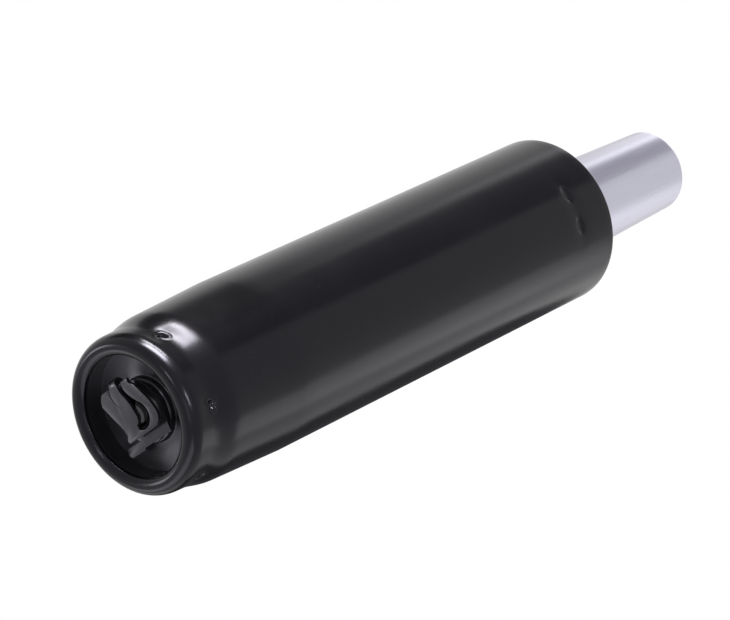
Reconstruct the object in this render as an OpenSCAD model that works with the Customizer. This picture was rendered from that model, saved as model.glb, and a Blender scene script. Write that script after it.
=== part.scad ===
// Gas lift cylinder of an office chair, shown pushed fully down.
// Z runs up the column's axis and z = 0 is the face of the column's rolled bottom rim.
// The pressure tube slides up out of the column, and turns in it on the thrust bearing.

/* [Outer column] */
// Outside diameter of the column
column_d = 50; // [48:0.5:56]
// Height of the column
column_len = 184; // [178:1:230]
// Wall of the column
column_wall = 2; // [1.7:0.1:2.3]
// Half angle of the taper that wedges in the hub of the chair's base
hub_taper_angle = 2; // [1.4:0.1:2.4]
// Height at which that taper runs out into the straight barrel
hub_taper_h = 43; // [38:1:48]
// Height of the neck below the taper
neck_h = 17; // [15:0.5:20]
// How far the neck is drawn in below the taper
neck_in = 1.15; // [0.8:0.05:1.3]
// Height over which the foot rounds over into its rolled rim
rim_h = 4.2; // [3.8:0.1:4.6]
// Radial width of that rounding
rim_w = 2.9; // [2.7:0.1:3.3]
// Width of the flat ring that the column stands on
rim_flat = 0.4; // [0.3:0.1:0.8]
// Radius to which the lip is rolled in behind the flat ring
lip_roll = 2.5; // [2.4:0.1:2.9]
// Rounding of the column's top edge
top_edge_r = 0.8; // [0.4:0.1:1.2]

/* [Stakes and crimps] */
// Stakes round the neck that lock the base plate
stake_count = 6; // [3:1:6]
// Height of the stakes
stake_z = 8.5; // [8.2:0.1:9.5]
// Direction of the first stake
stake_turn = -4; // [-60:1:60]
// Radius of the pit that a stake leaves
stake_r = 1.6; // [1.2:0.1:2]
// Depth of that pit
stake_depth = 0.9; // [0.6:0.1:1.1]
// Radius of the soft dish round each pit
dish_r = 16; // [12:0.5:20]
// Depth of that dish
dish_depth = 0.6; // [0.4:0.05:0.6]
// Pairs of crimps that lock the guide sleeve
crimp_pairs = 3; // [2:1:4]
// Distance of the crimps below the column's top
crimp_drop = 14.7; // [12:0.1:18]
// Direction of the middle of the first pair
crimp_turn = -17; // [-60:1:60]
// Angle between the two crimps of a pair
crimp_spread = 23; // [18:1:30]
// Radius of the punch that leaves a crimp
crimp_r = 3.2; // [2.4:0.1:4]
// Depth of a crimp
crimp_depth = 0.7; // [0.4:0.1:0.9]

/* [Base plate and bearing] */
// Thickness of the pressed base plate
plate_t = 4; // [3.4:0.1:4.6]
// How far the plate's middle is pressed down
boss_drop = 2; // [1.6:0.1:2.4]
// Diameter of the pressed-down middle
boss_d = 18.4; // [18:0.2:22]
// Depth of the pocket that holds the bearing
pocket_depth = 3; // [2.4:0.1:3.4]
// Diameter of the bearing's races
race_d = 21.6; // [20.6:0.2:22.2]
// Thickness of a race
race_t = 1.5; // [1.3:0.1:1.8]
// Diameter of the balls
ball_d = 3.5; // [3.1:0.1:3.7]
// Number of balls
ball_count = 11; // [8:1:12]
// Diameter of the circle that the balls run on
ball_circle_d = 15.8; // [15.2:0.1:16.2]
// Thickness of the ball cage
cage_t = 1.2; // [1:0.1:1.4]

/* [Piston rod] */
// Diameter of the piston rod
rod_d = 10; // [9.4:0.1:10.4]
// Diameter of the rod's stub, below the shoulder that rests on the bearing
stub_d = 8; // [7.6:0.1:8.6]
// Diameter of the clip's groove near the end of the stub
groove_d = 5.8; // [5.4:0.1:6.2]
// Chamfer on the rod's end
rod_chamfer = 1.6; // [1:0.1:1.7]
// Height of the rubber buffer
buffer_h = 12.2; // [8:0.2:18]
// Outside diameter of the buffer
buffer_d = 24; // [20:0.5:27]

/* [Retaining clip] */
// Sheet thickness of the clip
clip_t = 1; // [0.8:0.05:1.1]
// Height of the clip's lowest face
clip_z = 1.1; // [0.8:0.1:1.6]
// Space between the clip's two leaves
leaf_gap = 1.65; // [1.5:0.05:2]
// Direction of the clip's long side
clip_turn = -24.5; // [-60:0.5:60]
// Outside radius of the clip's fork round the rod
fork_r = 9.3; // [8.8:0.1:9.8]
// Space between the clip's long prong and the wall of the recess
prong_gap = 3.3; // [2.8:0.1:3.8]
// Thickness of the washer above the clip
washer_t = 1.2; // [1:0.1:1.5]
// Outside diameter of that washer
washer_d = 17.4; // [15:0.2:20]

/* [Pressure tube] */
// Outside diameter of the pressure tube
tube_d = 28; // [27:0.1:28.6]
// Wall of the pressure tube
tube_wall = 1.5; // [1.3:0.1:1.7]
// Length of the tapered seat cone
cone_len = 55; // [48:1:58]
// Diameter of the seat cone's tip
cone_tip_d = 25; // [24.4:0.1:25.6]
// Height of the lift between fully down and fully up
stroke = 65; // [45:1:75]
// Gap left between the buffer and the tube when the lift is down
down_gap = 0.5; // [0.3:0.1:1]
// Length of the plastic guide sleeve
guide_len = 88; // [80:1:94]
// Wall of the guide sleeve between its ribs
guide_wall = 2.6; // [2:0.1:3.2]
// Number of lengthwise ribs on the guide sleeve
guide_ribs = 8; // [6:1:12]

/* [Inside the pressure tube] */
// Outside diameter of the inner cylinder
liner_d = 21; // [20.4:0.1:21.6]
// Wall of the inner cylinder
liner_wall = 1; // [0.8:0.1:1.2]
// Thickness of the cap that closes the tube's foot
cap_t = 4; // [3:0.2:5]
// Height of the rod's guide bush
bush_h = 9; // [7:0.5:11]
// Height of the rod seal
seal_h = 6; // [5:0.2:7]
// Height of the stop ring that centres the inner cylinder
stop_h = 11.6; // [10:0.2:14]
// Height of the piston
piston_h = 12; // [10:0.5:14]

/* [Valve and button] */
// Height of the valve body above the inner cylinder
valve_h = 24; // [22:0.5:26]
// Height of the plug that guides the button
plug_h = 9.5; // [9:0.1:11]
// Diameter of the valve pin
pin_d = 5; // [4.6:0.1:5.4]
// Diameter of the release button
button_d = 8; // [7.4:0.1:8.6]
// How far the button stands above the seat cone
button_show = 8; // [6:0.5:10]
// How far the button can be pressed
button_travel = 3; // [2:0.1:3]

/* [Clearances] */
// Radial play of parts that turn or slide in one another
run_gap = 0.06; // [0.03:0.01:0.08]
// Radial play of parts that are pressed or crimped together
seat_gap = 0.05; // [0.02:0.01:0.08]

/* [Hidden] */
$fn = 96;

// Heights of the stack under the rod's shoulder, from the clip upwards
leaf_top = clip_z + clip_t;
fork_z = leaf_top + leaf_gap;
clip_top = fork_z + clip_t;
rod_end_z = leaf_top + 0.1;
boss_z = clip_top + washer_t + seat_gap;
floor_z = boss_z + boss_drop;
pocket_z = boss_z + plate_t;
plate_top = pocket_z + pocket_depth;
race_gap = 0.8 * ball_d;
ball_z = pocket_z + race_t + race_gap / 2;
shoulder_z = ball_z + race_gap / 2 + race_t;
buffer_top = shoulder_z + buffer_h;

// Radii that several pieces share
rod_r = rod_d / 2;
stub_r = stub_d / 2;
groove_r = groove_d / 2;
pocket_r = race_d / 2 + 0.4;
groove_ball_r = ball_d / 2 + seat_gap;
tube_r = tube_d / 2;
tube_in_r = tube_r - tube_wall;
tip_r = cone_tip_d / 2;
liner_r = liner_d / 2;
bore_r = liner_r - liner_wall;
pin_r = pin_d / 2;
button_r = button_d / 2;

// Heights of the pressure tube and of what it holds
tube_z = buffer_top + down_gap;
tube_top = column_len + cone_len;
cap_z = tube_z + tube_wall;
bush_z = cap_z + cap_t;
seal_z = bush_z + bush_h;
stop_z = seal_z + seal_h;
stop_top = stop_z + stop_h;
liner_z = stop_top - 3.6;
piston_low = stop_top + stroke + 0.4;
piston_z = piston_low + 1.2;
piston_top = piston_z + piston_h;
plug_top = tube_top - tube_wall;
plug_z = plug_top - plug_h;
valve_z = plug_z - valve_h;
spigot_z = valve_z - 4.5;
button_floor = plug_top - 7.5;
button_z = button_floor + button_travel + 0.5;
button_top = tube_top + button_show;
pin_top = plug_top + 3.5;

// Points of an arc about c, from angle a to angle b
function arc(c, r, a, b, n = 6) = [for (i = [0:n]) c + r * [cos(a + (b - a) * i / n), sin(a + (b - a) * i / n)]];

// Points of an oval arc about c, with its two half widths, from angle a to angle b
function oval(c, rx, ry, a, b, n = 8) = [for (i = [0:n])
    c + [rx * cos(a + (b - a) * i / n), ry * sin(a + (b - a) * i / n)]];

// Outside radius of the column at height z: barrel, hub taper and drawn-in neck
function column_r(z) = column_d / 2
    - tan(hub_taper_angle) * max(0, hub_taper_h - z)
    - neck_in * pow(max(0, neck_h - z) / (neck_h - rim_h), 1.1);

// Outside radius of the pressure tube at height z: straight tube, then seat cone
function tube_out_r(z) = tube_r - (tube_r - tip_r) * max(0, z - (tube_top - cone_len)) / cone_len;

// Largest radius of a piece that is a seat fit inside the tube at height z
function in_tube_r(z) = tube_out_r(z) - tube_wall - seat_gap;

// Heights at which the drawn-in foot of the column is shaped
foot_z = [rim_h, 6, 8.5, 11, 13.5, neck_h, hub_taper_h];

// Solid of revolution from a half section, given as radius and height
module turned(points) {
    rotate_extrude() polygon(points);
}

// Flat ring between two radii
module ring(z, h, r_in, r_out) {
    translate([0, 0, z]) difference() {
        cylinder(h = h, r = r_out);
        translate([0, 0, -1]) cylinder(h = h + 2, r = r_in);
    }
}

// Places its children at a height, round the axis
module around(count, turn, z) {
    for (i = [0:count - 1]) rotate(turn + 360 * i / count) translate([0, 0, z]) children();
}

// The flat ring's two radii, the angle through which the lip is rolled, and the opening inside it
rim_out_c = column_r(rim_h) - rim_w;
rim_in_c = rim_out_c - rim_flat;
lip_turn = 60;
lip_r = rim_in_c - lip_roll * sin(lip_turn);
recess_r = lip_r + 0.2;

// Directions of all the crimps under the column's top
crimp_z = column_len - crimp_drop;
crimp_angles = [for (i = [0:crimp_pairs - 1], s = [-1, 1]) crimp_turn + 360 * i / crimp_pairs + s * crimp_spread / 2];

// Bead that a punch raises inside the wall
bead_r = 0.6 * column_wall;
bead_out = 0.4 * column_wall;

module wall_bead(r) {
    translate([r - column_wall + bead_r - bead_out, 0, 0]) sphere(r = bead_r, $fn = 32);
}

// Steel column: its foot is drawn in and rolled over into a rim, and its wall is staked and crimped
module outer_column() {
    outside = [for (z = foot_z) [column_r(z), z]];
    inside = [for (i = [len(foot_z) - 1:-1:0]) [column_r(foot_z[i]) - column_wall, foot_z[i]]];
    top_c = [column_d / 2 - top_edge_r, column_len - top_edge_r];
    color("#252427") difference() {
        union() {
            turned(concat(
                arc([rim_in_c, lip_roll], lip_roll, -90 - lip_turn, -90),
                oval([rim_out_c, rim_h], rim_w, rim_h, -90, 0),
                outside,
                arc(top_c, top_edge_r, 0, 90),
                [[column_d / 2 - column_wall, column_len]],
                inside,
                oval([rim_out_c, rim_h], rim_w - column_wall, rim_h - column_wall, 0, -90, 4),
                arc([rim_in_c, lip_roll], lip_roll - column_wall, -90, -90 - lip_turn, 3)));
            around(stake_count, stake_turn, stake_z) wall_bead(column_r(stake_z));
            for (a = crimp_angles) rotate(a) translate([0, 0, crimp_z]) wall_bead(column_d / 2);
        }
        around(stake_count, stake_turn, stake_z) {
            translate([column_r(stake_z) - stake_depth + stake_r, 0, 0]) sphere(r = stake_r, $fn = 32);
            translate([column_r(stake_z) - dish_depth + dish_r, 0, 0]) sphere(r = dish_r);
        }
        for (a = crimp_angles) rotate(a)
            translate([column_d / 2 - crimp_depth + crimp_r, 0, crimp_z]) sphere(r = crimp_r, $fn = 48);
    }
}

// Base plate: a pressed steel cup that stands on the rolled lip, with a pocket for the bearing
module base_plate() {
    foot_in = rim_in_c - 0.7 * (lip_roll - column_wall);
    foot_step = 0.6 * (lip_roll - column_wall);
    side = [for (z = [rim_h, 6, stake_z - 2]) [column_r(z) - column_wall - seat_gap, z]];
    groove_in = bead_out + 0.4;
    stake_side = column_r(stake_z - 2) - column_wall - seat_gap;
    side_up = [for (z = [stake_z + 2, 12, plate_top]) [column_r(z) - column_wall - seat_gap, z]];
    corner_r = 1.5;
    color("#48474c") difference() {
        turned(concat(
            [[stub_r + run_gap, boss_z]],
            arc([boss_d / 2 - 0.8, boss_z + 0.8], 0.8, -90, 0, 4),
            [[boss_d / 2, floor_z]],
            arc([recess_r - corner_r, floor_z - corner_r], corner_r, 90, 0, 4),
            [[recess_r, column_wall + foot_step], [foot_in, column_wall + foot_step],
             [rim_in_c, column_wall], [rim_out_c, column_wall]],
            side,
            [[stake_side - groove_in, stake_z - 2], [stake_side - groove_in, stake_z + 2]],
            side_up,
            [[pocket_r, plate_top], [pocket_r, pocket_z], [stub_r + run_gap, pocket_z]]));
    }
}

// Guide sleeve: moulded plastic bush with lengthwise ribs, crimped in under the column's top
module guide_sleeve() {
    out_r = column_d / 2 - column_wall - seat_gap;
    core_r = tube_r + run_gap + guide_wall;
    top = column_len - 0.5;
    foot = top - guide_len;
    collar_z = crimp_z - 9;
    groove_in = bead_out + 0.4;
    rib_t = 2.4;
    color("#1f1f20") difference() {
        union() {
            ring(foot, guide_len, tube_r + run_gap, core_r);
            ring(foot, 4, core_r - 1, out_r);
            turned([[core_r - 1, collar_z], [out_r, collar_z], [out_r, crimp_z - 2.5],
                    [out_r - groove_in, crimp_z - 2.5], [out_r - groove_in, crimp_z + 2.5],
                    [out_r, crimp_z + 2.5], [out_r, top], [core_r - 1, top]]);
            intersection() {
                ring(foot, guide_len - 1, core_r - 1, out_r);
                around(guide_ribs, 0, foot) translate([0, -rib_t / 2, 0]) cube([out_r, rib_t, collar_z - foot + 1]);
            }
        }
        translate([0, 0, top - 1.2]) cylinder(h = 1.3, r1 = tube_r, r2 = tube_r + 1.3);
    }
}

// Race of the thrust bearing, with the groove that the balls run in on the side given by up
module race(z, bore, up) {
    groove_side = up ? z + race_t : z;
    race_c = groove_side + (up ? race_gap / 2 : -race_gap / 2);
    color("#b9bac0") difference() {
        ring(z, race_t, bore, race_d / 2);
        rotate_extrude() translate([ball_circle_d / 2, race_c]) circle(r = groove_ball_r, $fn = 48);
    }
}

module lower_race() {
    race(pocket_z, stub_r + 0.6, true);
}

module upper_race() {
    race(shoulder_z - race_t, stub_r + seat_gap, false);
}

// Cage that keeps the balls apart
module bearing_cage() {
    color("#a8894a") difference() {
        ring(ball_z - cage_t / 2, cage_t, stub_r + 1.1, race_d / 2 - 0.2);
        around(ball_count, 0, ball_z - cage_t) translate([ball_circle_d / 2, 0, 0])
            cylinder(h = 2 * cage_t, r = ball_d / 2 + run_gap, $fn = 48);
    }
}

module bearing_balls() {
    color("#d0d1d6") around(ball_count, 0, ball_z) translate([ball_circle_d / 2, 0, 0])
        sphere(r = ball_d / 2, $fn = 32);
}

// Piston rod: ground steel, turned down at the foot to a stub with a shoulder, a groove and a head,
// and at the top to a spigot that is riveted over the piston
module piston_rod() {
    groove_low = fork_z - seat_gap;
    groove_high = clip_top + seat_gap;
    spigot_r = rod_r - 1.5;
    color("#c9cad0") turned([
        [0, rod_end_z],
        [stub_r - rod_chamfer, rod_end_z],
        [stub_r, rod_end_z + 0.7 * rod_chamfer],
        [stub_r, groove_low],
        [groove_r, groove_low],
        [groove_r, groove_high],
        [stub_r, groove_high],
        [stub_r, shoulder_z],
        [rod_r, shoulder_z],
        [rod_r, piston_low],
        [spigot_r, piston_low],
        [spigot_r, piston_top],
        [spigot_r + 1.1, piston_top],
        [spigot_r + 0.9, piston_top + 1],
        [spigot_r - 0.6, piston_top + 1.7],
        [0, piston_top + 1.9]]);
}

// Rubber buffer that cushions the tube's foot at the bottom of the stroke
module rubber_buffer() {
    waist = 1.4;
    edge = 1.2;
    r = buffer_d / 2;
    color("#141414") turned(concat(
        [[rod_r + 0.2, shoulder_z]],
        arc([r - edge, shoulder_z + edge], edge, -90, 0, 4),
        [[r - waist, shoulder_z + buffer_h / 2 - 1], [r - waist, shoulder_z + buffer_h / 2 + 1]],
        arc([r - edge, buffer_top - edge], edge, 0, 90, 4),
        [[rod_r + 0.2, buffer_top]]));
}

module clip_washer() {
    edge = 0.35;
    color("#2a2a2d") turned(concat(
        [[stub_r + seat_gap, clip_top]],
        arc([washer_d / 2 - edge, clip_top + edge], edge, -90, 0, 3),
        arc([washer_d / 2 - edge, clip_top + washer_t - edge], edge, 0, 90, 3),
        [[stub_r + seat_gap, clip_top + washer_t]]));
}

// Points of a closed outline with its corners cut off twice, which leaves a smooth curve
function smoothed(p, times = 2) = times == 0 ? p : smoothed(
    [for (i = [0:len(p) - 1], part = [0.25, 0.75]) p[i] + part * (p[(i + 1) % len(p)] - p[i])], times - 1);

// Places on the clip's leaves are in hundredths of the fork's radius, along the clip and across it
leaf_unit = fork_r / 100;
fold_q = -101;

// Cover leaf of the clip, seen from below: a body with a rounded nose, and an arm that runs
// round a window in which the rod's end shows
module cover_leaf() {
    window_c = [25, 5];
    window_r = 44;
    nose_c = [-7, 3];
    nose_r = 25;
    outline = concat(
        [[-68, fold_q], [55, fold_q], [53, -88], [69, -77], [80, -50], [94, -17]],
        arc([62, 20], 38, -8, 90),
        arc([-57, 52], 8, 90, 190),
        [[-63, 46], [-55, 38], [-57, 18], [-62, 2], [-71, -18], [-81, -46], [-90, -70], [-83, -87]]);
    slot = [[16, -140], [3, -98], [3, -76], [14, -46], [19, -10], [34, -20],
            [52, -30], [40, -44], [28, -64], [22, -80], [26, -98], [38, -140]];
    slit = [[-26, -140], [-29, -103], [-35, -92], [-38, -81], [-36, -66], [-30, -46],
            [-32, -45], [-39, -66], [-41, -81], [-38, -93], [-32, -103], [-30, -140]];
    difference() {
        polygon(leaf_unit * outline);
        difference() {
            translate(leaf_unit * window_c) circle(r = leaf_unit * window_r);
            translate(leaf_unit * nose_c) circle(r = leaf_unit * nose_r);
            translate(leaf_unit * [-65, -65]) square(leaf_unit * [65, 108]);
            polygon(leaf_unit * [[0, -47], [13, -47], [16, -34], [17, -17], [18, 3], [0, 3]]);
        }
        polygon(leaf_unit * smoothed(slot));
        polygon(leaf_unit * smoothed(slit));
    }
}

// Fork leaf of the clip: two prongs that hold the groove of the rod between them, one of them long
module fork_leaf() {
    slot_r = groove_r + seat_gap;
    end_r = 14.5 * leaf_unit;
    prong_q = 81.5 * leaf_unit;
    prong_p = -sqrt(pow(recess_r - prong_gap - end_r, 2) - pow(prong_q, 2));
    difference() {
        union() {
            intersection() {
                circle(r = fork_r);
                translate(leaf_unit * [-35, fold_q]) square(leaf_unit * [135, 150]);
            }
            translate(leaf_unit * [-69, fold_q]) square(leaf_unit * [69, 90]);
            polygon(leaf_unit * [[-48, 0], [98, 15], [86, 58], [82, 90], [-48, 90]]);
            translate([prong_p, prong_q - end_r]) square([-47 * leaf_unit - prong_p, 2 * end_r]);
            translate([prong_p, prong_q]) circle(r = end_r);
        }
        circle(r = slot_r);
        translate([-2 * fork_r, -slot_r]) square([2 * fork_r, 2 * slot_r]);
    }
}

// Retaining clip: one strip of spring steel folded over, so that the fork sits in the rod's groove
// and the cover leaf springs over the rod's end
module retaining_clip() {
    bend_in = leaf_gap / 2;
    bend_p = [-27, 2];
    color("#2d2c30") rotate(clip_turn) {
        translate([0, 0, clip_z]) linear_extrude(height = clip_t) cover_leaf();
        translate([0, 0, fork_z]) linear_extrude(height = clip_t) fork_leaf();
        translate([leaf_unit * bend_p[0], leaf_unit * fold_q, leaf_top + bend_in])
            rotate([0, 90, 0]) rotate([0, 0, 180])
                rotate_extrude(angle = 180) translate([bend_in, 0]) square([clip_t, leaf_unit * (bend_p[1] - bend_p[0])]);
    }
}

module piston_washer() {
    color("#b9bac0") ring(piston_low, piston_z - piston_low, rod_r - 1.5 + seat_gap, bore_r - 0.9);
}

// Piston: turned aluminium, with a groove for its sealing ring
ring_h = 2.4;

module piston() {
    r = bore_r - run_gap - 0.03;
    mid = piston_z + piston_h / 2;
    color("#a9abb2") turned([
        [rod_r - 1.5 + seat_gap, piston_z],
        [r - 0.6, piston_z],
        [r, piston_z + 0.6],
        [r, mid - ring_h / 2 - seat_gap],
        [r - 1.6, mid - ring_h / 2 - seat_gap],
        [r - 1.6, mid + ring_h / 2 + seat_gap],
        [r, mid + ring_h / 2 + seat_gap],
        [r, piston_top - 0.6],
        [r - 0.6, piston_top],
        [rod_r - 1.5 + seat_gap, piston_top]]);
}

module piston_ring() {
    mid = piston_z + piston_h / 2;
    color("#1a1a1a") ring(mid - ring_h / 2, ring_h, bore_r - run_gap - 1.53, bore_r - run_gap);
}

// Pressure tube: rolled in at the foot over the end cap, and swaged to the seat cone at the top
module pressure_tube() {
    foot_lip_r = rod_r + 4.4;
    tip_lip_r = button_r + 4.4;
    cone_z = tube_top - cone_len;
    edge = tube_wall;
    tip_out = tube_out_r(tube_top - edge);
    color("#c3c4cf") turned(concat(
        [[foot_lip_r, tube_z]],
        arc([tube_r - edge, tube_z + edge], edge, -90, 0),
        [[tube_r, cone_z], [tip_out, tube_top - edge]],
        arc([tip_out - edge, tube_top - edge], edge, 10, 90),
        [[tip_lip_r, tube_top], [tip_lip_r, plug_top], [tube_out_r(plug_top) - tube_wall, plug_top]],
        [[tube_in_r, cone_z], [tube_in_r, cap_z], [foot_lip_r, cap_z]]));
}

// Steel cap that the tube's foot is rolled over
module end_cap() {
    color("#8d8f96") turned([
        [rod_r + 0.3, cap_z],
        [in_tube_r(cap_z), cap_z],
        [in_tube_r(cap_z), bush_z],
        [rod_r + 0.3, bush_z]]);
}

module guide_bush() {
    r = in_tube_r(bush_z);
    color("#b08a45") turned([
        [rod_r + run_gap, bush_z],
        [r, bush_z],
        [r, bush_z + 3],
        [r - 1.5, bush_z + 3],
        [r - 1.5, seal_z - 2],
        [r, seal_z - 2],
        [r, seal_z],
        [rod_r + run_gap, seal_z]]);
}

// Rod seal: rubber ring with two lips that open towards the gas
module rod_seal() {
    r = in_tube_r(seal_z);
    mid = (rod_r + r) / 2;
    color("#161616") turned([
        [rod_r + run_gap, seal_z],
        [r, seal_z],
        [r, stop_z],
        [r - 1.8, stop_z],
        [mid + 0.6, stop_z - 2.6],
        [mid - 0.6, stop_z - 2.6],
        [rod_r + 1.8, stop_z],
        [rod_r + run_gap, stop_z]]);
}

// Stop ring: centres the inner cylinder and stops the piston, slotted so that gas passes round it
module stop_ring() {
    slot_w = 3;
    color("#d8d4c4") difference() {
        union() {
            ring(stop_z, liner_z - stop_z, rod_r + 0.5, in_tube_r(stop_z));
            ring(liner_z - 1, stop_top - liner_z + 1, rod_r + 0.5, bore_r - seat_gap);
        }
        around(4, 45, liner_z - 2) translate([rod_r + 1.5, -slot_w / 2, 0]) cube([tube_r, slot_w, 10]);
    }
}

module inner_cylinder() {
    color("#c6c7cc") ring(liner_z, valve_z - liner_z, bore_r, liner_r);
}

// Valve body: closes the inner cylinder and carries the pin, with a side port to the gap round it
chamber_z = valve_z + 2;
chamber_h = 7;
seals_z = valve_z + 13;
o_ring_r = 0.95;
body_seal_z = valve_z + 18;

module valve_body() {
    port_z = chamber_z + chamber_h / 2;
    waist_r = liner_r - 0.9;
    groove_h = 2 * o_ring_r + 0.2;
    groove_r_in = in_tube_r(body_seal_z) - 2 * o_ring_r;
    color("#c49a4a") difference() {
        union() {
            ring(spigot_z, valve_z - spigot_z + 1, pin_r + run_gap, bore_r - seat_gap);
            turned([
                [pin_r + run_gap, valve_z],
                [in_tube_r(valve_z), valve_z],
                [in_tube_r(valve_z + 3), valve_z + 3],
                [waist_r, valve_z + 3],
                [waist_r, valve_z + 10],
                [in_tube_r(valve_z + 10), valve_z + 10],
                [in_tube_r(body_seal_z - groove_h / 2), body_seal_z - groove_h / 2],
                [groove_r_in, body_seal_z - groove_h / 2],
                [groove_r_in, body_seal_z + groove_h / 2],
                [in_tube_r(body_seal_z + groove_h / 2), body_seal_z + groove_h / 2],
                [in_tube_r(plug_z), plug_z],
                [pin_r + run_gap, plug_z]]);
        }
        translate([0, 0, chamber_z]) cylinder(h = chamber_h, r = pin_r + 1.1);
        translate([0, 0, seals_z]) cylinder(h = valve_h, r = pin_r + 2.5);
        translate([0, 0, port_z]) rotate([0, 90, 0]) cylinder(h = 4 * tube_r, r = 1.1, center = true, $fn = 32);
        around(4, 45, valve_z - 1) translate([liner_r + 0.6, -1.5, 0]) cube([4, 3, 5]);
    }
}

module body_seal() {
    r = in_tube_r(body_seal_z) - o_ring_r + seat_gap / 2;
    color("#161616") rotate_extrude() translate([r, body_seal_z]) circle(r = o_ring_r, $fn = 32);
}

seal_ring_h = 2.4;

module pin_seals() {
    color("#1a1a1a") for (z = [seals_z, plug_z - seal_ring_h])
        ring(z, seal_ring_h, pin_r + run_gap, pin_r + 2.5 - seat_gap);
}

module seal_spacer() {
    z = seals_z + seal_ring_h;
    color("#d8d4c4") ring(z, plug_z - seal_ring_h - z, pin_r + 0.2, pin_r + 2.5 - seat_gap);
}

// Plug that closes the tube's tip and guides the button
module button_plug() {
    color("#8d8f96") difference() {
        turned([
            [pin_r + run_gap, plug_z],
            [in_tube_r(plug_z), plug_z],
            [in_tube_r(plug_top), plug_top],
            [pin_r + run_gap, plug_top]]);
        translate([0, 0, button_floor]) cylinder(h = plug_h, r = button_r + run_gap);
    }
}

// Valve pin: its head closes the valve from below, and pressing it down opens the way past its waist
module valve_pin() {
    head_z = spigot_z - 2.5;
    waist_r = pin_r - 0.9;
    color("#c9cad0") turned([
        [0, head_z],
        [pin_r + 1.0, head_z],
        [pin_r + 1.3, head_z + 0.4],
        [pin_r + 1.3, spigot_z - 0.2],
        [pin_r, spigot_z - 0.2],
        [pin_r, spigot_z + 1],
        [waist_r, spigot_z + 2],
        [waist_r, chamber_z + chamber_h - 1],
        [pin_r, chamber_z + chamber_h],
        [pin_r, pin_top],
        [0, pin_top]]);
}

module release_button() {
    edge = 1;
    color("#b4b5bb") turned(concat(
        [[pin_r + 0.02, button_z],
         [button_r - 0.3, button_z],
         [button_r, button_z + 0.3]],
        arc([button_r - edge, button_top - edge], edge, 0, 90),
        [[0, button_top],
         [0, pin_top + 0.1],
         [pin_r + 0.02, pin_top + 0.1]]));
}

outer_column();
base_plate();
guide_sleeve();
lower_race();
bearing_cage();
bearing_balls();
upper_race();
piston_rod();
rubber_buffer();
clip_washer();
retaining_clip();
piston_washer();
piston();
piston_ring();
pressure_tube();
end_cap();
guide_bush();
rod_seal();
stop_ring();
inner_cylinder();
valve_body();
body_seal();
pin_seals();
seal_spacer();
button_plug();
valve_pin();
release_button();
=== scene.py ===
import math

import bmesh
import bpy
import numpy as np
from mathutils import Matrix, Vector


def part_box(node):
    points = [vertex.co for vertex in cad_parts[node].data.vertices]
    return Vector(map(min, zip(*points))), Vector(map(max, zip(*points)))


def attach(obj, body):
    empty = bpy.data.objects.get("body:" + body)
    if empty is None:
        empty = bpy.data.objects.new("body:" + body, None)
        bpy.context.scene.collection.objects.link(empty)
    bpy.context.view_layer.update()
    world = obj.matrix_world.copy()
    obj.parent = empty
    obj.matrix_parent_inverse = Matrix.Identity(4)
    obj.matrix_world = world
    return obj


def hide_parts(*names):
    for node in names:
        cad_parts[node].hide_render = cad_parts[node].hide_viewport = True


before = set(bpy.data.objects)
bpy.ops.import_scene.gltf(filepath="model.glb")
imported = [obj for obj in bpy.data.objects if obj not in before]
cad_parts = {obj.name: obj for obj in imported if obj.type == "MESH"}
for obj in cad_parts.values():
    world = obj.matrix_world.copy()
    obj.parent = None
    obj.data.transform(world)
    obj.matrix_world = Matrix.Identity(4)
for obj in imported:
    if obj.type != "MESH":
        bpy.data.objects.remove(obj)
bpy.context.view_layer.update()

MM = 0.001

# Camera at the photograph's place in the part's own frame. It looks up at the foot of the column,
# which stands upright here, so the picture's frame is turned with the camera.
camera_place = Vector((0.665808, -0.227685, -0.630393))
camera_right = Vector((0.753620, 0.196899, 0.627127))
camera_up = Vector((0.0, -0.954080, 0.299552))
camera_lens = 177.7
camera_data = bpy.data.cameras.new("camera")
camera_data.lens = camera_lens
camera_data.sensor_width = 36
camera_data.clip_start = 0.01
camera = bpy.data.objects.new("camera", camera_data)
camera_back = camera_right.cross(camera_up)
camera_turn = Matrix((camera_right, camera_up, camera_back)).transposed().to_4x4()
camera.matrix_world = Matrix.Translation(camera_place) @ camera_turn
bpy.context.scene.collection.objects.link(camera)
bpy.context.scene.camera = camera
bpy.context.scene.view_settings.view_transform = "Standard"


def feed(tree, value, socket):
    """A socket takes a steady number, or what another socket gives."""
    if isinstance(value, (int, float)):
        socket.default_value = value
    else:
        tree.links.new(value, socket)


def combine(tree, kind, a, b):
    """Math node on two sockets or numbers."""
    node = tree.nodes.new("ShaderNodeMath")
    node.operation = kind
    feed(tree, a, node.inputs[0])
    feed(tree, b, node.inputs[1])
    return node.outputs[0]


def shown_where(tree, output_kind, factor, otherwise, shown):
    """Output with one shader where the factor is 1, and the other where it is 0."""
    mix = tree.nodes.new("ShaderNodeMixShader")
    output = tree.nodes.new(output_kind)
    tree.links.new(factor, mix.inputs[0])
    tree.links.new(otherwise.outputs[0], mix.inputs[1])
    tree.links.new(shown.outputs[0], mix.inputs[2])
    tree.links.new(mix.outputs[0], output.inputs["Surface"])


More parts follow.
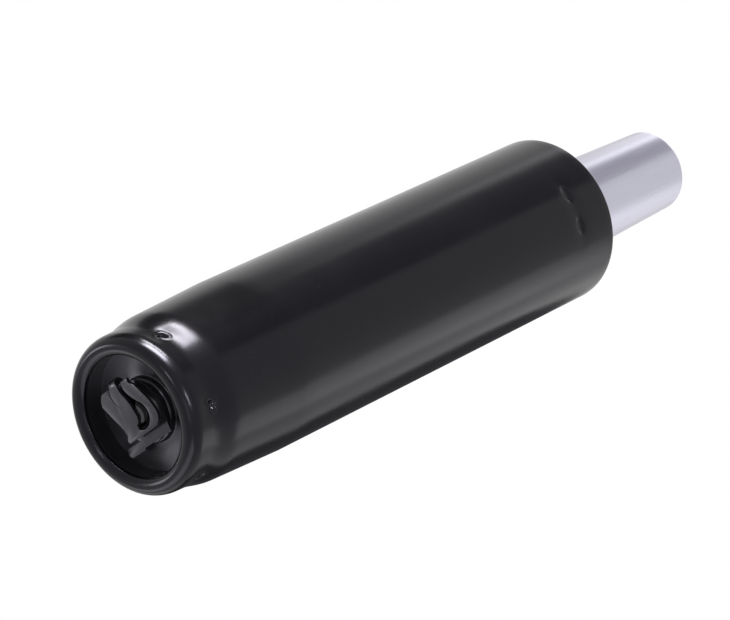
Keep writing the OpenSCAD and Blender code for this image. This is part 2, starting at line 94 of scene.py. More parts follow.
# Soft studio light: a white surround, softboxes and grey cards. The surround is plain white where
# the camera, a reflection or glass sees it, and dimmer as light on matt surfaces.
surround_light = 0.75
world = bpy.data.worlds.new("surround")
bpy.context.scene.world = world
world.use_nodes = True
world_tree = world.node_tree
world_tree.nodes.clear()
white = world_tree.nodes.new("ShaderNodeBackground")
white.inputs["Color"].default_value = (1, 1, 1, 1)
soft = world_tree.nodes.new("ShaderNodeBackground")
soft.inputs["Color"].default_value = (0.97, 0.97, 1.0, 1)
soft.inputs["Strength"].default_value = surround_light
ray = world_tree.nodes.new("ShaderNodeLightPath").outputs
camera_or_gloss = combine(world_tree, "MAXIMUM", ray["Is Camera Ray"], ray["Is Glossy Ray"])
or_glass = combine(world_tree, "MAXIMUM", camera_or_gloss, ray["Is Transmission Ray"])
shown_where(world_tree, "ShaderNodeOutputWorld", or_glass, soft, white)

# Direction from which the camera sees the column, round the axis. The sides of the cylinder
# mirror what stands at twice their own angle from it.
view_angle = math.atan2(camera_place.y, camera_place.x)


def beside(turn_deg, far, height):
    """Place at a distance from the axis and a height, turned round it from the camera's side."""
    a = view_angle + math.radians(turn_deg)
    return Vector((math.cos(a) * far, math.sin(a) * far, height))


# The strong strips draw highlights on the black pieces alone, and leave bare metal as it is
black_pieces = bpy.data.collections.new("black_pieces")


def softbox(name, place, aim, wide, tall, brightness, only_gloss=False):
    """Rectangular lamp at a place, facing aim. Its power is brightness times pi times its area.
    With only_gloss it draws highlights on the black pieces, and lights no matt surface or bare
    metal."""
    data = bpy.data.lights.new(name, "AREA")
    data.shape = "RECTANGLE"
    data.size = wide
    data.size_y = tall
    data.energy = brightness * math.pi * wide * tall
    lamp = bpy.data.objects.new(name, data)
    lamp.rotation_euler = (aim - place).to_track_quat("-Z", "Y").to_euler()
    lamp.location = place
    lamp.visible_camera = False
    lamp.visible_diffuse = not only_gloss
    if only_gloss:
        lamp.light_linking.receiver_collection = black_pieces
    bpy.context.scene.collection.objects.link(lamp)


def empty_material(name):
    """Material with no nodes yet, and its node tree."""
    material = bpy.data.materials.new(name)
    material.use_nodes = True
    material.node_tree.nodes.clear()
    return material, material.node_tree


def grey_card(name, turn_deg, far, low, high, wide, tone):
    """Upright card that faces the axis, seen only in reflections, where it is an even grey."""
    middle = beside(turn_deg, far, 0)
    across = Vector((-middle.y, middle.x, 0)).normalized() * wide / 2
    foot = Vector((0, 0, low))
    head = Vector((0, 0, high))
    corners = [middle - across + foot, middle + across + foot,
               middle + across + head, middle - across + head]
    mesh = bpy.data.meshes.new(name)
    mesh.from_pydata(corners, [], [(0, 1, 2, 3)])
    card = bpy.data.objects.new(name, mesh)
    bpy.context.scene.collection.objects.link(card)
    material, tree = empty_material(name)
    grey = tree.nodes.new("ShaderNodeEmission")
    grey.inputs["Color"].default_value = (tone * 0.97, tone * 0.95, tone * 1.05, 1)
    clear = tree.nodes.new("ShaderNodeBsdfTransparent")
    ray = tree.nodes.new("ShaderNodeLightPath").outputs
    shown_where(tree, "ShaderNodeOutputMaterial", ray["Is Glossy Ray"], clear, grey)
    mesh.materials.append(material)


column_middle = Vector((0, 0, 0.11))
rim_middle = Vector((0, 0, 0))

# Each lamp's place and aim, then its width and height in metres, and its brightness
softbox("lower_softbox", beside(72, 0.6, 0.56), column_middle, 0.28, 0.4, 1.1)
softbox("cone_softbox", beside(-88, 1.0, 1.42), column_middle, 0.2, 0.3, 0.9)
softbox("rim_softbox", beside(-61, 0.8, 0.07), rim_middle, 0.47, 0.26, 60.0, only_gloss=True)
softbox("neck_softbox", beside(-67, 0.8, 0.34), rim_middle, 0.5, 0.09, 60.0, only_gloss=True)
softbox("foot_softbox", beside(8, 0.8, -0.2), rim_middle, 0.2, 0.06, 40.0, only_gloss=True)
softbox("recess_softbox", beside(204, 0.8, -0.57), rim_middle, 0.3, 0.2, 8.0, only_gloss=True)
softbox("glint_softbox", beside(-41, 0.45, -0.85), rim_middle, 0.12, 0.12, 20.0, only_gloss=True)
softbox("under_softbox", beside(119, 1.0, -0.78), rim_middle, 2.5, 0.6, 2.0, only_gloss=True)
softbox("cone_side_softbox", beside(100, 1.0, 1.5), column_middle, 1.0, 0.5, 0.25)
softbox("front_softbox", beside(25, 0.77, -0.81), column_middle, 0.5, 0.5, 0.9)
softbox("top_softbox", Vector((-0.3, -0.3, 1.3)), column_middle, 0.6, 0.6, 1.2)
grey_card("upper_card", turn_deg=-50, far=1.2, low=0.9, high=2.2, wide=1.3, tone=0.45)
grey_card("lower_card", turn_deg=148, far=0.3, low=0.1, high=0.515, wide=0.40, tone=0.09)
grey_card("foot_card", turn_deg=-88, far=0.9, low=0.12, high=0.94, wide=1.4, tone=0.12)

# Floor: a plain pale sheet under the column. It is clear when seen from below, where the camera
# stands, and takes the column's shadow when seen from above.
floor_drop = 0.0002
floor_half = 6.0
floor_colour = (0.86, 0.86, 0.87, 1)
floor_mesh = bpy.data.meshes.new("floor")
floor_corners = [(x * floor_half, y * floor_half, -floor_drop)
                 for x, y in ((-1, -1), (1, -1), (1, 1), (-1, 1))]
floor_mesh.from_pydata(floor_corners, [], [(0, 1, 2, 3)])
floor = bpy.data.objects.new("floor", floor_mesh)
bpy.context.scene.collection.objects.link(floor)
floor_material, floor_tree = empty_material("floor")
matt = floor_tree.nodes.new("ShaderNodeBsdfDiffuse")
matt.inputs["Color"].default_value = floor_colour
clear = floor_tree.nodes.new("ShaderNodeBsdfTransparent")
back = floor_tree.nodes.new("ShaderNodeNewGeometry").outputs["Backfacing"]
ray = floor_tree.nodes.new("ShaderNodeLightPath").outputs
front = combine(floor_tree, "SUBTRACT", 1, back)
from_above = combine(floor_tree, "MULTIPLY", front, ray["Is Camera Ray"])
shown_where(floor_tree, "ShaderNodeOutputMaterial", from_above, clear, matt)
floor_mesh.materials.append(floor_material)

# Outer column: drawn steel tube with its foot tapered, drawn in and rolled over into a rim.
# Stakes round the neck lock the base plate, crimps under the top lock the guide sleeve, and the
# whole is powder coated satin black.
column_r = 25 * MM
column_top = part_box("outer_column")[1].z
column_wall = 2 * MM
taper_h = 43 * MM
taper_slope = math.tan(math.radians(2))
neck_h = 17 * MM
neck_low = 7.5 * MM
neck_in = 1.15 * MM
rim_h = 4.2 * MM
rim_w = 2.9 * MM
rim_flat = 0.4 * MM
lip_roll = 2.5 * MM
lip_turn = 60
top_edge_r = 0.8 * MM
bore_edge_r = 0.3 * MM
stake_count = 6
stake_turn = -4
stake_z = 8.5 * MM
stake_angles = [math.radians(stake_turn + 360 * i / stake_count) for i in range(stake_count)]
stake_dish_deep = 0.42 * MM
stake_dish_r = 3.4 * MM
stake_pit_deep = 0.85 * MM
stake_pit_r = 0.95 * MM
collar_high = 0.14 * MM
collar_r = 1.65 * MM
collar_w = 0.45 * MM
crimp_z = column_top - 14.7 * MM
crimp_pair_turn = -17
crimp_half_gap = 11.5
crimp_angles = [math.radians(crimp_pair_turn + 120 * i + side * crimp_half_gap)
                for i in range(3) for side in (-1, 1)]
crimp_long = 1.9
crimp_dish_deep = 0.20 * MM
crimp_dish_r = 2.6 * MM
crimp_pit_deep = 0.45 * MM
crimp_pit_r = 1.25 * MM
dents_from = 3.0 * MM
dents_fade = 2.5 * MM
column_turns = 464


def turned_from(centre, angle):
    """Turn from one direction to another, the short way round."""
    return np.mod(angle - centre + np.pi, 2 * np.pi) - np.pi


def crowded(count, centres, gain, reach):
    """Angles once round the axis, closer together near some directions: how densely they lie is
    1, plus gain times exp(-(turn / reach) squared) for each centre."""
    t = np.linspace(0, 2 * np.pi, 7200, endpoint=False)
    near = [np.exp(-(turned_from(a, t) / reach) ** 2) for a in centres]
    total = np.concatenate([[0], np.cumsum(1 + gain * np.sum(near, 0))])
    return np.interp(np.arange(count) * total[-1] / count, total, np.append(t, 2 * np.pi))


def outside_r(z):
    """Radius of the column at height z: barrel, less the taper's slope, less the neck's draw,
    which comes in along a soft step between two heights."""
    t = np.clip((neck_h - z) / (neck_h - neck_low), 0, 1)
    draw = t * t * (3 - 2 * t)
    return column_r - taper_slope * np.clip(taper_h - z, 0, None) - neck_in * draw


def arc(cr, cz, r, a, b, n, tall=None):
    """Points (radius, height) on a circle about (cr, cz), from angle a to b in degrees. With tall
    it is an oval, r wide and tall high."""
    t = np.radians(np.linspace(a, b, n + 1))
    return np.stack([cr + r * np.cos(t), cz + (r if tall is None else tall) * np.sin(t)], 1)


def eased(corner, before, after, size, n=4):
    """Corner rounded off: a parabola that starts and ends at a distance from the corner."""
    corner = np.asarray(corner, float)
    p = corner + size * (before - corner) / np.linalg.norm(before - corner)
    q = corner + size * (after - corner) / np.linalg.norm(after - corner)
    t = np.linspace(0, 1, n + 1)[:, None]
    return p * (1 - t) ** 2 + 2 * corner * t * (1 - t) + q * t ** 2


def run(p, q, n):
    """Points on the straight line from p to q, without its two ends."""
    t = np.arange(1, n)[:, None] / n
    return np.asarray(p) * (1 - t) + np.asarray(q) * t


def put_piece(name, mesh, material, edges_kept=True):
    """Object with this mesh and material, shaded smooth. With edges_kept it keeps its edges where
    faces meet at more than 32 degrees."""
    mesh.polygons.foreach_set("use_smooth", np.ones(len(mesh.polygons), bool))
    if edges_kept:
        mesh.set_sharp_from_angle(angle=math.radians(32))
    mesh.materials.clear()
    mesh.materials.append(material)
    piece = bpy.data.objects.new(name, mesh)
    bpy.context.scene.collection.objects.link(piece)
    return piece


def new_piece(name, points, faces, material):
    """Object made of an array of points and a list of arrays of faces."""
    mesh = bpy.data.meshes.new(name)
    mesh.from_pydata(points.tolist(), [], [face for group in faces for face in group.tolist()])
    mesh.update()
    return put_piece(name, mesh, material)


def revolved(name, outline, material, angles, push=None):
    """Solid of revolution: a closed outline (radius, height) that runs with the metal on its left
    is carried round the axis through these angles. push(angle, outline) says how far each grid
    point moves outwards."""
    turns = len(angles)
    r = np.repeat(outline[:, 0][None, :], turns, 0)
    z = np.repeat(outline[:, 1][None, :], turns, 0)
    if push is not None:
        r = r + push(angles[:, None], outline[None, :, :])
    points = np.stack([r * np.cos(angles)[:, None], r * np.sin(angles)[:, None], z], 2)
    n = len(outline)
    here = np.arange(turns)[:, None] * n
    after = np.roll(here, -1, 0)
    j = np.arange(n)[None, :]
    up = (j + 1) % n
    faces = np.stack([here + j, after + j, after + up, here + up], 2)
    return new_piece(name, points.reshape(-1, 3), [faces.reshape(-1, 4)], material)


def even_angles(turns):
    """Angles once round the axis, in equal steps."""
    return np.linspace(0, 2 * np.pi, turns, endpoint=False)


def node_group(name, ins, outs):
    """Shader node group with named float or vector sockets, and its two end nodes."""
    group = bpy.data.node_groups.new(name, "ShaderNodeTree")
    for key, value in ins.items():
        kind = "NodeSocketVector" if value is None else "NodeSocketFloat"
        socket = group.interface.new_socket(name=key, in_out="INPUT", socket_type=kind)
        if value is not None:
            socket.default_value = value
    for key in outs:
        group.interface.new_socket(name=key, in_out="OUTPUT", socket_type="NodeSocketFloat")
    start = group.nodes.new("NodeGroupInput")
    end = group.nodes.new("NodeGroupOutput")
    return group, start, end


def noise(tree, vector, scale, detail, rough=0.55):
    """Noise texture on a vector socket, with fixed scale and detail."""
    node = tree.nodes.new("ShaderNodeTexNoise")
    node.inputs["Scale"].default_value = scale
    node.inputs["Detail"].default_value = detail
    node.inputs["Roughness"].default_value = rough
    tree.links.new(vector, node.inputs["Vector"])
    return node.outputs["Fac"]


def spread(tree, value, low, high, to_low, to_high):
    """Value carried from one range to another and held inside it."""
    node = tree.nodes.new("ShaderNodeMapRange")
    tree.links.new(value, node.inputs["Value"])
    feed(tree, low, node.inputs["From Min"])
    feed(tree, high, node.inputs["From Max"])
    feed(tree, to_low, node.inputs["To Min"])
    feed(tree, to_high, node.inputs["To Max"])
    return node.outputs["Result"]


def uneven_gloss(tree, start, end, value):
    """Roughness that swings round Gloss by Uneven each way, with a noise whose middle is 0.5."""
    off_middle = combine(tree, "SUBTRACT", value, 0.5)
    swing = combine(tree, "MULTIPLY", off_middle, start.outputs["Uneven"])
    both_ways = combine(tree, "MULTIPLY", swing, 2.0)
    tree.links.new(combine(tree, "ADD", both_ways, start.outputs["Gloss"]), end.inputs["Roughness"])


# Group for painted skins: a fine ripple of the paint, uneven gloss, and a few dust specks
paint_skin, start, end = node_group(
    "paint_skin", {"Place": None, "Gloss": 0.34, "Uneven": 0.06, "Dust": 0.5},
    ("Height", "Roughness", "Specks"))
place = start.outputs["Place"]
ripple = noise(paint_skin, place, scale=900, detail=2)
drift = noise(paint_skin, place, scale=45, detail=3)
grains = noise(paint_skin, place, scale=1500, detail=1, rough=0.4)
specks = spread(paint_skin, grains, 0.74, 0.8, 0, 1)
dust = combine(paint_skin, "MULTIPLY", specks, start.outputs["Dust"])
paint_skin.links.new(ripple, end.inputs["Height"])
uneven_gloss(paint_skin, start, end, drift)
paint_skin.links.new(dust, end.inputs["Specks"])

# Group for turned and ground metal: fine lines round the axis or along it, and uneven gloss
tool_marks, start, end = node_group(
    "tool_marks", {"Place": None, "Gloss": 0.25, "Uneven": 0.08, "Tone": 0.1},
    ("Height", "Roughness", "Tone"))
place = start.outputs["Place"]
lines = noise(tool_marks, place, scale=1.0, detail=4, rough=0.7)
clouds = noise(tool_marks, place, scale=0.12, detail=3)
tool_marks.links.new(lines, end.inputs["Height"])
uneven_gloss(tool_marks, start, end, lines)
tone = combine(tool_marks, "ADD", combine(tool_marks, "MULTIPLY", lines, 0.6),
               combine(tool_marks, "MULTIPLY", clouds, 0.4))
low_tone = combine(tool_marks, "SUBTRACT", 1.0, start.outputs["Tone"])
tool_marks.links.new(spread(tool_marks, tone, 0.3, 0.7, low_tone, 1.0), end.inputs["Tone"])


def new_material(name, metallic, specular):
    """Material with only its output and shader; steady numbers sit on the shader itself."""
    material = bpy.data.materials.new(name)
    material.use_nodes = True
    shader = material.node_tree.nodes["Principled BSDF"]
    shader.inputs["Metallic"].default_value = metallic
    shader.inputs["Specular IOR Level"].default_value = specular
    return material, shader


def place_of(tree, scale):
    """Object coordinates of the piece, stretched by three factors."""
    coords = tree.nodes.new("ShaderNodeTexCoord")
    mapping = tree.nodes.new("ShaderNodeMapping")
    mapping.inputs["Scale"].default_value = scale
    tree.links.new(coords.outputs["Object"], mapping.inputs["Vector"])
    return mapping.outputs["Vector"]


def bump(tree, shader, height, strength, distance):
    """Bump from a height, into the shader's normal."""
    node = tree.nodes.new("ShaderNodeBump")
    node.inputs["Strength"].default_value = strength
    node.inputs["Distance"].default_value = distance
    tree.links.new(height, node.inputs["Height"])
    tree.links.new(node.outputs["Normal"], shader.inputs["Normal"])


def tinted(tree, shader, factor, dark, light):
    """Base colour that goes from dark to light with a factor."""
    node = tree.nodes.new("ShaderNodeMix")
    node.data_type = "RGBA"
    node.inputs[6].default_value = (*dark, 1)
    node.inputs[7].default_value = (*light, 1)
    tree.links.new(factor, node.inputs[0])
    tree.links.new(node.outputs[2], shader.inputs["Base Color"])


def painted(name, dark, light, gloss, specular, ripple, dust):
    """Paint, blackened steel, rubber or plastic: a colour with dust specks, a rippled skin and
    uneven gloss, and a faint violet cast in what it mirrors."""
    material, shader = new_material(name, 0, specular)
    shader.inputs["Specular Tint"].default_value = (0.88, 0.85, 1.0, 1)
    tree = material.node_tree
    group = tree.nodes.new("ShaderNodeGroup")
    group.node_tree = paint_skin
    group.inputs["Gloss"].default_value = gloss
    group.inputs["Dust"].default_value = dust
    tree.links.new(place_of(tree, (1, 1, 1)), group.inputs["Place"])
    tinted(tree, shader, group.outputs["Specks"], dark, light)
    tree.links.new(group.outputs["Roughness"], shader.inputs["Roughness"])
    bump(tree, shader, group.outputs["Height"], ripple, 0.04 * MM)
    return material


column_paint = painted("column_paint", (0.0018, 0.0016, 0.0024), (0.05, 0.05, 0.052),
                       gloss=0.21, specular=0.22, ripple=0.08, dust=0.3)


def dents(angle, outline):
    """Stakes and crimps. Each is a bell-shaped dish, exp(-(distance / radius) squared), with a pit
    in its middle, exp(-(distance / radius) to the fourth). A stake's pit has a small raised collar
    and an uneven edge, whose radius swings with two and three waves round it. A crimp is nearly
    twice as long round the column as it is high. Only the column's outer side is pushed in."""
    r = outline[..., 0]
    z = outline[..., 1]
    outer_side = r > outside_r(z) - 0.6 * column_wall
    on_side = np.clip((z - dents_from) / dents_fade, 0, 1) * outer_side
    move = np.zeros(np.broadcast(angle, z).shape)
    for i, centre in enumerate(stake_angles):
        along = turned_from(centre, angle) * outside_r(stake_z)
        off = np.hypot(along, z - stake_z)
        move -= stake_dish_deep * np.exp(-(off / stake_dish_r) ** 2)
        around = np.arctan2(z - stake_z, along)
        pit = off / (1 + 0.16 * np.cos(2 * around + i) + 0.12 * np.cos(3 * around + 2.3 * i))
        move -= stake_pit_deep * np.exp(-(pit / stake_pit_r) ** 4)
        move += collar_high * np.exp(-((pit - collar_r) / collar_w) ** 2)
    for centre in crimp_angles:
        along = turned_from(centre, angle) * column_r
        off = np.hypot(along / crimp_long, z - crimp_z)
        move -= crimp_dish_deep * np.exp(-(off / crimp_dish_r) ** 2)
        move -= crimp_pit_deep * np.exp(-(off / crimp_pit_r) ** 4)
    return move * on_side


rim_out = float(outside_r(rim_h)) - rim_w
rim_in = rim_out - rim_flat
lip_outer = arc(rim_in, lip_roll, lip_roll, -90 - lip_turn, -90, 22)
lip_inner = arc(rim_in, lip_roll, lip_roll - column_wall, -90, -90 - lip_turn, 6)
lip_in_r = lip_outer[0, 0]
foot_rows = np.concatenate([np.linspace(rim_h - 0.2 * MM, 6.4 * MM, 8),
                            np.linspace(6.55 * MM, 10.6 * MM, 28),
                            np.linspace(11 * MM, 16 * MM, 12), np.linspace(17 * MM, taper_h, 20)])
barrel_rows = np.concatenate([np.linspace(48 * MM, crimp_z - 6 * MM, 14),
                              np.linspace(crimp_z - 5.5 * MM, crimp_z + 5.5 * MM, 30),
                              np.linspace(crimp_z + 7 * MM, column_top - top_edge_r, 4)])
rows = np.concatenate([foot_rows, barrel_rows])
bore_rows = np.concatenate([np.linspace(column_top, taper_h, 8)[1:],
                            np.linspace(taper_h, rim_h, 12)[1:-1]])
column_outline = np.concatenate([
    eased(lip_outer[0], lip_inner[-1], lip_outer[3], 0.35 * MM),
    lip_outer[4:],
    arc(rim_out, rim_h, rim_w, -90, -9, 26, rim_h),
    np.stack([outside_r(rows), rows], 1)[:-1],
    arc(column_r - top_edge_r, column_top - top_edge_r, top_edge_r, 0, 90, 6),
    arc(column_r - column_wall + bore_edge_r, column_top - bore_edge_r, bore_edge_r, 90, 180, 3),
    np.stack([outside_r(bore_rows) - column_wall, bore_rows], 1),
    arc(rim_out, rim_h, rim_w - column_wall, 0, -90, 8, rim_h - column_wall),
    lip_inner[:-2],
    eased(lip_inner[-1], lip_inner[-2], lip_outer[0], 0.15 * MM, 3)])
column_angles = crowded(column_turns, stake_angles, gain=3, reach=0.11)
outer_column = revolved("outer_column_body", column_outline, column_paint, column_angles, dents)
black_pieces.objects.link(outer_column)
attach(outer_column, "column")
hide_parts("outer_column")

# Base plate: a cup pressed from steel plate, turned on its face and blackened. It stands on the
# rolled lip inside the foot, and its middle is pressed down towards the clip.
plate_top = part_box("base_plate")[1].z
recess_r = lip_in_r + 0.2 * MM
recess_corner = 0.05 * MM
seat_gap = 0.05 * MM
washer_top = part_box("clip_washer")[1].z
boss_z = washer_top + seat_gap
boss_r = 9.2 * MM
boss_edge = 0.8 * MM
boss_corner = 0.35 * MM
floor_z = boss_z + 2 * MM
pocket_z = boss_z + 4 * MM
pocket_r = 11.2 * MM
stub_hole_r = 4.06 * MM
hole_edge = 0.3 * MM
plate_gap = column_wall + seat_gap
stake_groove_deep = 1.0 * MM
stake_groove_half = 2 * MM
side_rows = np.linspace(plate_top - 0.3 * MM, rim_h, 12)[::-1]
stake_room = stake_groove_deep * (np.abs(side_rows - stake_z) < stake_groove_half)
side_r = outside_r(side_rows) - plate_gap - 0.02 * MM - stake_room
plate_steel = painted("plate_steel", (0.004, 0.004, 0.005), (0.07, 0.07, 0.072),
                      gloss=0.30, specular=0.60, ripple=0.10, dust=0.3)

# The turning rings draw its highlights out into streaks: the tangent points away from the axis
plate_tree = plate_steel.node_tree
plate_shader = plate_tree.nodes["Principled BSDF"]
plate_shader.inputs["Anisotropic"].default_value = 0.9
plate_tree.links.new(place_of(plate_tree, (1, 1, 0)), plate_shader.inputs["Tangent"])

# Outline of the cup: hole, boss, recess, seat on the lip, side with the stakes' groove, pocket
plate_outline = np.concatenate([
    arc(stub_hole_r + hole_edge, boss_z + hole_edge, hole_edge, 180, 270, 4),
    arc(boss_r - boss_edge, boss_z + boss_edge, boss_edge, -90, -8, 8),
    arc(boss_r + boss_corner, floor_z - boss_corner, boss_corner, 180, 90, 5),
    run((boss_r + 0.5 * MM, floor_z), (recess_r - recess_corner - 0.1 * MM, floor_z), 5),
    arc(recess_r - recess_corner, floor_z - recess_corner, recess_corner, 90, 0, 12),
    run((recess_r, floor_z - recess_corner - 0.3 * MM), (recess_r, column_wall + 0.3 * MM), 5),
    [[recess_r, column_wall + 0.35 * MM], [rim_in - 0.35 * MM, column_wall + 0.35 * MM],
     [rim_in, plate_gap], [rim_out, plate_gap]],
    np.stack([side_r, side_rows], 1),
    [[outside_r(plate_top) - plate_gap - 0.4 * MM, plate_top], [pocket_r, plate_top],
     [pocket_r, pocket_z], [stub_hole_r, pocket_z]]])
base_plate = revolved("base_plate_cup", plate_outline, plate_steel, even_angles(256))
black_pieces.objects.link(base_plate)
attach(base_plate, "column")
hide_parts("base_plate")


def metal(name, dark, light, gloss, uneven, tone, stretch, strength):
    """Bare metal: fine lines stretched along one direction, over two close tones."""
    material, shader = new_material(name, 1, 0.5)
    tree = material.node_tree
    group = tree.nodes.new("ShaderNodeGroup")
    group.node_tree = tool_marks
    group.inputs["Gloss"].default_value = gloss
    group.inputs["Uneven"].default_value = uneven
    group.inputs["Tone"].default_value = tone
    tree.links.new(place_of(tree, stretch), group.inputs["Place"])
    tinted(tree, shader, group.outputs["Tone"], dark, light)
    tree.links.new(group.outputs["Roughness"], shader.inputs["Roughness"])
    bump(tree, shader, group.outputs["Height"], strength, 0.02 * MM)
    return material


def dress(material, *names):
    """Gives CAD nodes this material on every slot."""
    for name in names:
        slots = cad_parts[name].data.materials
        slots.clear()
        slots.append(material)


def merged_copy(node, name, material, flat_joined=False):
    """Copy of a node's solid with its loose triangles merged. It is shaded smooth except at its
    edges, or with its flat faces joined it is left for a bevel to round them."""
    copy = bmesh.new()
    copy.from_mesh(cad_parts[node].data)
    bmesh.ops.remove_doubles(copy, verts=copy.verts, dist=0.004 * MM)
    if flat_joined:
        bmesh.ops.dissolve_limit(copy, angle_limit=math.radians(1.5), verts=copy.verts,
                                 edges=copy.edges)
    mesh = bpy.data.meshes.new(name)
    copy.to_mesh(mesh)
    copy.free()
    return put_piece(name, mesh, material, edges_kept=not flat_joined)


# Thrust bearing: two ground races of bearing steel, and balls in a pressed brass cage. It carries
# the rod's shoulder on the base plate, out of sight inside the column.
round_lines = (150, 150, 9000)
bearing_steel = metal("bearing_steel", (0.42, 0.42, 0.44), (0.62, 0.62, 0.64), gloss=0.16,
                      uneven=0.05, tone=0.2, stretch=(700, 700, 700), strength=0.1)
brass = metal("brass", (0.48, 0.33, 0.13), (0.75, 0.56, 0.27), gloss=0.28,
              uneven=0.08, tone=0.3, stretch=round_lines, strength=0.2)
dress(bearing_steel, "lower_race", "upper_race", "piston_washer")
dress(brass, "bearing_cage", "guide_bush", "valve_body")
bearing_balls = merged_copy("bearing_balls", "bearing_balls_ground", bearing_steel)
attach(bearing_balls, "bearing")
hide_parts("bearing_balls")

# Piston rod: ground and chromed steel. Its stub goes through the base plate, and its chamfered
# end, which shows in the clip's window, is blackened but for its face.
rod_steel = metal("rod_steel", (0.34, 0.34, 0.36), (0.58, 0.58, 0.61), gloss=0.22,
                  uneven=0.06, tone=0.25, stretch=round_lines, strength=0.15)
dress(rod_steel, "valve_pin")
piston_rod = merged_copy("piston_rod", "piston_rod_ground", rod_steel)
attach(piston_rod, "rod")
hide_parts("piston_rod")


def toned_below(material, z, dark):
    """Another colour under a height: a mask on the piece's own z, 1 at z and 0 just above it."""
    tree = material.node_tree
    shader = tree.nodes["Principled BSDF"]
    tone = shader.inputs["Base Color"].links[0].from_socket
    split = tree.nodes.new("ShaderNodeSeparateXYZ")
    tree.links.new(place_of(tree, (1, 1, 1)), split.inputs[0])
    mix = tree.nodes.new("ShaderNodeMix")
    mix.data_type = "RGBA"
    mix.inputs[7].default_value = (*dark, 1)
    mask = spread(tree, split.outputs["Z"], z, z + 0.1 * MM, 1, 0)
    tree.links.new(mask, mix.inputs[0])
    tree.links.new(tone, mix.inputs[6])
    tree.links.new(mix.outputs[2], shader.inputs["Base Color"])


rod_end_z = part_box("piston_rod")[0].z
rod_black_h = 4 * MM
rod_chamfer = 0.3 * MM
toned_below(rod_steel, rod_end_z + rod_black_h, (0.010, 0.010, 0.011))
toned_below(rod_steel, rod_end_z + rod_chamfer, (0.055, 0.055, 0.060))

# Rubber and plastic pieces inside: the buffer on the rod's shoulder, the seals, and the moulded
# rings. The rubber is matt black, the plastic is left its natural colour.
rubber = painted("rubber", (0.012, 0.012, 0.012), (0.03, 0.03, 0.03),
                 gloss=0.62, specular=0.3, ripple=0.5, dust=0.8)
pale_plastic = painted("pale_plastic", (0.62, 0.58, 0.46), (0.72, 0.68, 0.58),
                       gloss=0.45, specular=0.4, ripple=0.3, dust=0.5)
dress(rubber, "rubber_buffer", "rod_seal", "body_seal", "pin_seals", "piston_ring")
dress(pale_plastic, "stop_ring", "seal_spacer")

# Clip washer: a flat washer stamped from steel, with broken edges, and blackened. It lies on the
# rod's stub between the clip and the base plate.
washer_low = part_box("clip_washer")[0].z
washer_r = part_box("clip_washer")[1].x
washer_edge = 0.35 * MM
washer_hole_r = 4.05 * MM
hole_chamfer = 0.1 * MM
washer_outline = np.concatenate([
    [[washer_hole_r, washer_low + hole_chamfer], [washer_hole_r + hole_chamfer, washer_low]],
    arc(washer_r - washer_edge, washer_low + washer_edge, washer_edge, -90, 0, 5),
    arc(washer_r - washer_edge, washer_top - washer_edge, washer_edge, 0, 90, 5),
    [[washer_hole_r, washer_top]]])
washer_steel = painted("washer_steel", (0.006, 0.006, 0.007), (0.07, 0.07, 0.072),
                       gloss=0.18, specular=0.70, ripple=0.10, dust=0.3)
clip_washer = revolved("clip_washer_ring", washer_outline, washer_steel, even_angles(160))
black_pieces.objects.link(clip_washer)
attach(clip_washer, "rod")
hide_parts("clip_washer")

# Retaining clip: stamped from one strip of spring steel, folded over and oil blackened. Its fork
# holds the groove in the rod, and its cover leaf springs over the rod's end. The edges that the
# stamping leaves are slightly rounded.
clip_edge = 0.13 * MM
clip_steel = painted("clip_steel", (0.010, 0.010, 0.012), (0.10, 0.10, 0.105),
                     gloss=0.24, specular=0.50, ripple=0.10, dust=0.3)
retaining_clip = merged_copy("retaining_clip", "retaining_clip_folded", clip_steel,
                             flat_joined=True)
bevel = retaining_clip.modifiers.new("edges", "BEVEL")
bevel.width = clip_edge
bevel.segments = 3
bevel.limit_method = "ANGLE"
bevel.angle_limit = math.radians(40)
bevel.use_clamp_overlap = True
bevel.harden_normals = True
black_pieces.objects.link(retaining_clip)
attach(retaining_clip, "rod")
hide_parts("retaining_clip")

# Guide sleeve: a moulded black plastic bush crimped in under the column's top. Its mouth is
# chamfered, and only its top face shows round the pressure tube.
sleeve_plastic = painted("sleeve_plastic", (0.010, 0.010, 0.010), (0.03, 0.03, 0.03),
                         gloss=0.42, specular=0.4, ripple=0.35, dust=0.5)
dress(sleeve_plastic, "guide_sleeve")

# Pressure tube: drawn steel, ground and swaged to the seat cone, and left bare with an oiled satin
# finish. Grinding leaves fine streaks along the cone.
tube_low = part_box("pressure_tube")[0].z
tube_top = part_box("pressure_tube")[1].z
tube_r = 14 * MM
tube_wall = 1.5 * MM
cone_z = column_top
tip_r = 12.5 * MM
foot_lip_r = 9.4 * MM
foot_edge = 0.3 * MM
tip_lip_r = 8.4 * MM
tip_edge = 0.4 * MM


def tube_out_r(z):
    """Radius of the tube at height z: straight, then narrowing evenly to the cone's tip."""
    return tube_r - (tube_r - tip_r) * np.clip(z - cone_z, 0, None) / (tube_top - cone_z)


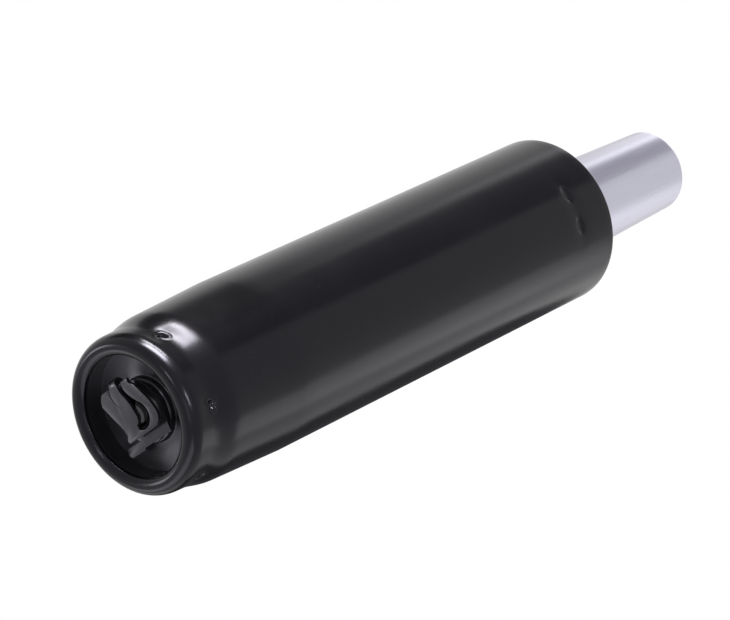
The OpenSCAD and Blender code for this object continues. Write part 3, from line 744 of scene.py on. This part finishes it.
cone_rows = np.linspace(cone_z, tube_top - tube_wall, 24)
tip_out = float(tube_out_r(tube_top - tube_wall))
tube_outline = np.concatenate([
    arc(foot_lip_r + foot_edge, tube_low + foot_edge, foot_edge, 180, 270, 3),
    arc(tube_r - tube_wall, tube_low + tube_wall, tube_wall, -90, 0, 10),
    run((tube_r, tube_low + 2 * MM), (tube_r, cone_z), 20),
    np.stack([tube_out_r(cone_rows), cone_rows], 1),
    arc(tip_out - tube_wall, tube_top - tube_wall, tube_wall, 6, 90, 10),
    run((tip_out - tube_wall, tube_top), (tip_lip_r + tip_edge, tube_top), 4),
    arc(tip_lip_r + tip_edge, tube_top - tip_edge, tip_edge, 90, 180, 4),
    [[tip_lip_r, tube_top - tube_wall], [tip_out - tube_wall, tube_top - tube_wall],
     [tube_r - tube_wall, cone_z], [tube_r - tube_wall, tube_low + tube_wall],
     [foot_lip_r, tube_low + tube_wall]]])
lengthwise_lines = (1800, 1800, 14)
tube_steel = metal("tube_steel", (0.406, 0.399, 0.469), (0.524, 0.516, 0.599), gloss=0.30,
                   uneven=0.07, tone=0.5, stretch=lengthwise_lines, strength=0.10)
pressure_tube = revolved("pressure_tube_body", tube_outline, tube_steel, even_angles(256))
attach(pressure_tube, "cylinder")
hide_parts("pressure_tube")

# Pieces sealed in the pressure tube: caps and the inner cylinder of plain steel, and the turned
# aluminium piston on the rod's top.
plain_steel = metal("plain_steel", (0.36, 0.36, 0.38), (0.52, 0.52, 0.54), gloss=0.30,
                    uneven=0.08, tone=0.3, stretch=round_lines, strength=0.2)
aluminium = metal("aluminium", (0.58, 0.58, 0.60), (0.74, 0.74, 0.76), gloss=0.30,
                  uneven=0.08, tone=0.3, stretch=round_lines, strength=0.2)
dress(plain_steel, "end_cap", "inner_cylinder", "button_plug")
dress(aluminium, "piston")

# Release button: a turned steel cap on the valve pin, with rounded edges and faint turning rings.
# The seat's lever presses it down to free the lift.
button_low, button_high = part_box("release_button")
button_r = 4 * MM
button_edge = 1 * MM
button_low_edge = 0.3 * MM


def turned(name, outline, material, angles):
    """Solid of revolution with a pole at each end: the outline (radius, height) starts and ends on
    the axis, and each end is closed with a fan of triangles to one point."""
    turns = len(angles)
    ring = outline[1:-1]
    n = len(ring)
    x = ring[None, :, 0] * np.cos(angles)[:, None]
    y = ring[None, :, 0] * np.sin(angles)[:, None]
    z = np.repeat(ring[None, :, 1], turns, 0)
    points = np.concatenate([np.stack([x, y, z], 2).reshape(-1, 3),
                             [[0, 0, outline[0, 1]], [0, 0, outline[-1, 1]]]])
    here = np.arange(turns) * n
    after = np.roll(here, -1)
    j = np.arange(n - 1)[None, :]
    quads = np.stack([here[:, None] + j, after[:, None] + j,
                      after[:, None] + j + 1, here[:, None] + j + 1], 2)
    low = np.stack([np.full(turns, turns * n), after, here], 1)
    high = np.stack([np.full(turns, turns * n + 1), here + n - 1, after + n - 1], 1)
    return new_piece(name, points, [quads.reshape(-1, 4), low, high], material)


button_outline = np.concatenate([
    [[0, button_low.z]],
    arc(button_r - button_low_edge, button_low.z + button_low_edge, button_low_edge, -90, 0, 4),
    run((button_r, button_low.z + 0.4 * MM), (button_r, button_high.z - button_edge), 8),
    arc(button_r - button_edge, button_high.z - button_edge, button_edge, 0, 90, 10),
    run((button_r - button_edge, button_high.z), (0, button_high.z), 6),
    [[0, button_high.z]]])
button_steel = metal("button_steel", (0.44, 0.44, 0.47), (0.60, 0.60, 0.63), gloss=0.24,
                     uneven=0.06, tone=0.3, stretch=round_lines, strength=0.15)
release_button = turned("release_button_cap", button_outline, button_steel, even_angles(128))
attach(release_button, "button")
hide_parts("release_button")
